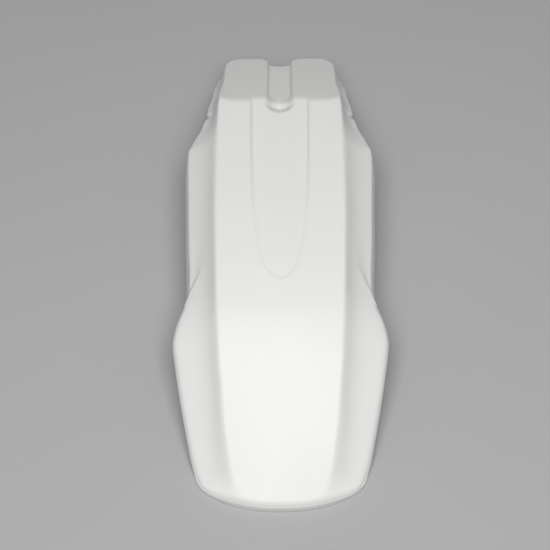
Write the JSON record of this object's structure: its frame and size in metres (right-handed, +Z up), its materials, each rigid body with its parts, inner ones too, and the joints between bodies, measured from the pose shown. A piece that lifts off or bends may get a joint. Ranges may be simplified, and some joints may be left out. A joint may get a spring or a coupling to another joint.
{
  "type": "motorcycle front fender",
  "caption": "Short supermoto front fender: arched one-piece plastic shell with a wide nose flange, side skirts, sunken panel and a sloping, channelled fork clamp seat.",
  "frame": {"origin": "under the middle of the length and width, on the plane the fender rests on", "axes": "+Z up from the rest plane, nose towards -Y, clamp seat towards +Y, X across the fender"},
  "size_m": [0.2012, 0.5291, 0.0866],
  "materials": {
    "moulded_plastic": "satin gloss, self-coloured white moulding"
  },
  "bodies": {
    "root": {"fender_shell": "moulded_plastic"}
  },
  "joints": []
}
